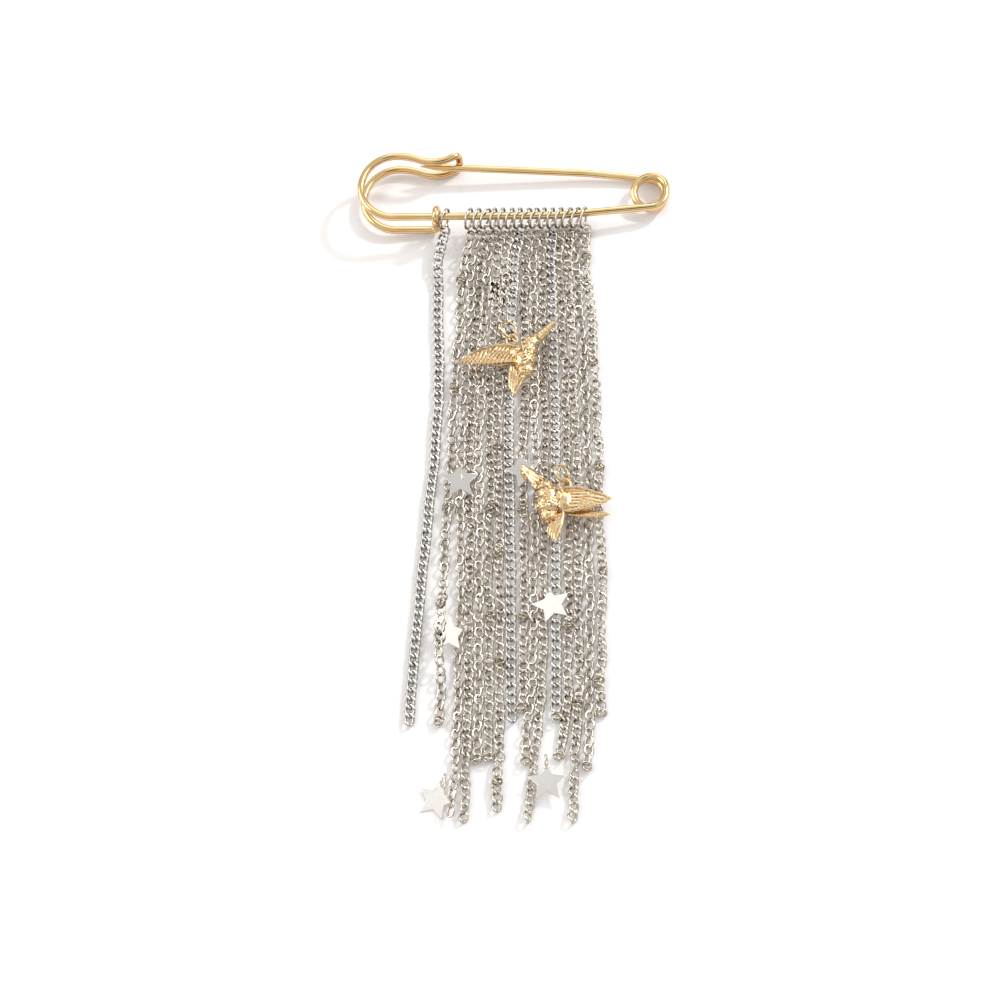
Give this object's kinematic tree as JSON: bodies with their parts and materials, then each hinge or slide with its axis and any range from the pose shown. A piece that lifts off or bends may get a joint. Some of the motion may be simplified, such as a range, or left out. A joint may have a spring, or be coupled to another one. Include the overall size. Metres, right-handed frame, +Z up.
{
  "type": "safety pin brooch with a chain fringe",
  "caption": "Large safety-pin brooch lying flat: bent gilt wire pin whose bar carries a fringe of fine silver chains with cast hummingbirds and flat star charms.",
  "frame": {"origin": "centre of the bounding box on the surface the brooch lies on", "axes": "+Y from the chain ends towards the pin, +X along the pin's bar from the head to the coil, +Z up from the surface"},
  "size_m": [0.0744, 0.168, 0.0104],
  "materials": {
    "gilt": "polished yellow gold plate over bent wire and cast metal",
    "silver_tone": "bright silver-tone plate, slightly warm",
    "antique_brass": "pale brassy plate, slightly duller"
  },
  "bodies": {
    "brooch": {"pin_frame": "gilt", "station_beads": "antique_brass", "end_rings": "silver_tone", "bar_ring_0": "silver_tone", "bar_ring_1": "silver_tone", "bar_ring_2": "silver_tone", "bar_ring_3": "silver_tone", "bar_ring_4": "silver_tone", "bar_ring_5": "silver_tone", "bar_ring_6": "silver_tone", "bar_ring_7": "silver_tone", "bar_ring_8": "silver_tone", "bar_ring_9": "silver_tone", "bar_ring_10": "silver_tone", "bar_ring_11": "silver_tone", "bar_ring_12": "silver_tone", "bar_ring_13": "silver_tone", "bar_ring_14": "silver_tone", "bar_ring_15": "silver_tone", "chain_0": "silver_tone", "chain_1": "silver_tone", "chain_2": "silver_tone", "chain_3": "silver_tone", "chain_4": "silver_tone", "chain_5": "silver_tone", "chain_6": "silver_tone", "chain_7": "silver_tone", "chain_8": "silver_tone", "chain_9": "silver_tone", "chain_10": "silver_tone", "chain_11": "silver_tone", "chain_12": "silver_tone", "chain_13": "silver_tone", "chain_14": "silver_tone", "chain_15": "silver_tone", "bird_1": "gilt", "bird_2": "gilt", "bird_ring_1": "gilt", "bird_ring_2": "gilt", "star_1": "silver_tone", "star_2": "silver_tone", "star_3": "silver_tone", "star_4": "silver_tone", "star_5": "silver_tone", "star_6": "silver_tone", "star_7": "silver_tone", "star_ring_1": "silver_tone", "star_ring_2": "silver_tone", "star_ring_3": "silver_tone", "star_ring_4": "silver_tone", "star_ring_5": "silver_tone", "star_ring_6": "silver_tone", "star_ring_7": "silver_tone"},
    "arm": {"pin_arm": "gilt"}
  },
  "joints": [
    {"name": "arm_press", "type": "hinge", "parent": "brooch", "child": "arm", "pos_m": [0.0327, 0.07273, 0.00117], "axis": [0.0728, 0, 0.9973], "range_deg": [0, 8], "stiffness_Nm_per_rad": 0.15}
  ]
}
